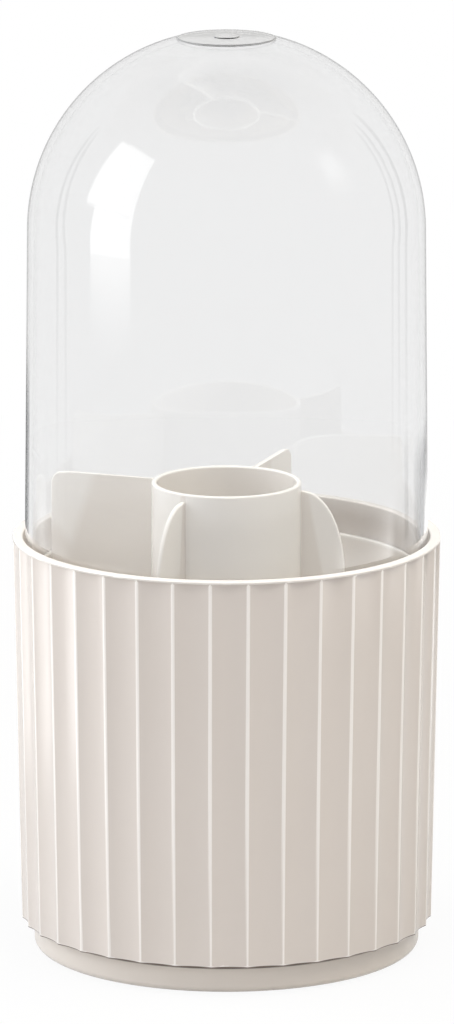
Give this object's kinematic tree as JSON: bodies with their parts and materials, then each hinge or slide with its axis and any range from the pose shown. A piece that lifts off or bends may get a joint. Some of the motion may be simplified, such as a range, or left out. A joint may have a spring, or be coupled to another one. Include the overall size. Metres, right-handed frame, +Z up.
{
  "type": "rotating makeup organizer",
  "caption": "Round fluted makeup cup that turns on a low ball-bearing foot, with a lift-out divider, a central brush tube and a clear domed cover.",
  "frame": {"origin": "centre of the foot, on the surface that the organizer stands on", "axes": "+Z up along the turning axis, -Y towards the front of the picture, +X to its right"},
  "size_m": [0.124, 0.124, 0.2683],
  "materials": {
    "cream_gloss": "glossy cream moulded ABS",
    "white_gloss": "glossy off-white moulded plastic",
    "clear_plastic": "clear polished polystyrene",
    "natural_nylon": "natural nylon, satin",
    "bearing_steel": "polished steel balls",
    "plated_steel": "zinc-plated steel",
    "pad_rubber": "matt translucent silicone rubber"
  },
  "bodies": {
    "foot": {"base_plate": "cream_gloss", "pivot_washer": "plated_steel", "pivot_screw": "plated_steel", "foot_pad_1": "pad_rubber", "foot_pad_2": "pad_rubber", "foot_pad_3": "pad_rubber", "foot_pad_4": "pad_rubber"},
    "bearing": {"ball_cage": "natural_nylon", "bearing_ball_01": "bearing_steel", "bearing_ball_02": "bearing_steel", "bearing_ball_03": "bearing_steel", "bearing_ball_04": "bearing_steel", "bearing_ball_05": "bearing_steel", "bearing_ball_06": "bearing_steel", "bearing_ball_07": "bearing_steel", "bearing_ball_08": "bearing_steel", "bearing_ball_09": "bearing_steel", "bearing_ball_10": "bearing_steel", "bearing_ball_11": "bearing_steel", "bearing_ball_12": "bearing_steel"},
    "cup": {"fluted_cup": "cream_gloss"},
    "divider": {"divider_insert": "white_gloss"},
    "cover": {"dome_cover": "clear_plastic"}
  },
  "joints": [
    {"name": "cup_turn", "type": "hinge", "parent": "foot", "child": "cup", "pos_m": [0, 0, 0.0101], "axis": [0, 0, 1], "continuous": true},
    {"name": "bearing_turn", "type": "hinge", "parent": "foot", "child": "bearing", "pos_m": [0, 0, 0.0093], "axis": [0, 0, 1], "continuous": true},
    {"name": "divider_lift", "type": "slide", "parent": "cup", "child": "divider", "axis": [0, 0, 1], "range_m": [0, 0.115]},
    {"name": "cover_lift", "type": "slide", "parent": "divider", "child": "cover", "axis": [0, 0, 1], "range_m": [0, 0.16]}
  ],
  "couplings": [
    {"joint": "bearing_turn", "follows": "cup_turn", "ratio": 0.5}
  ]
}
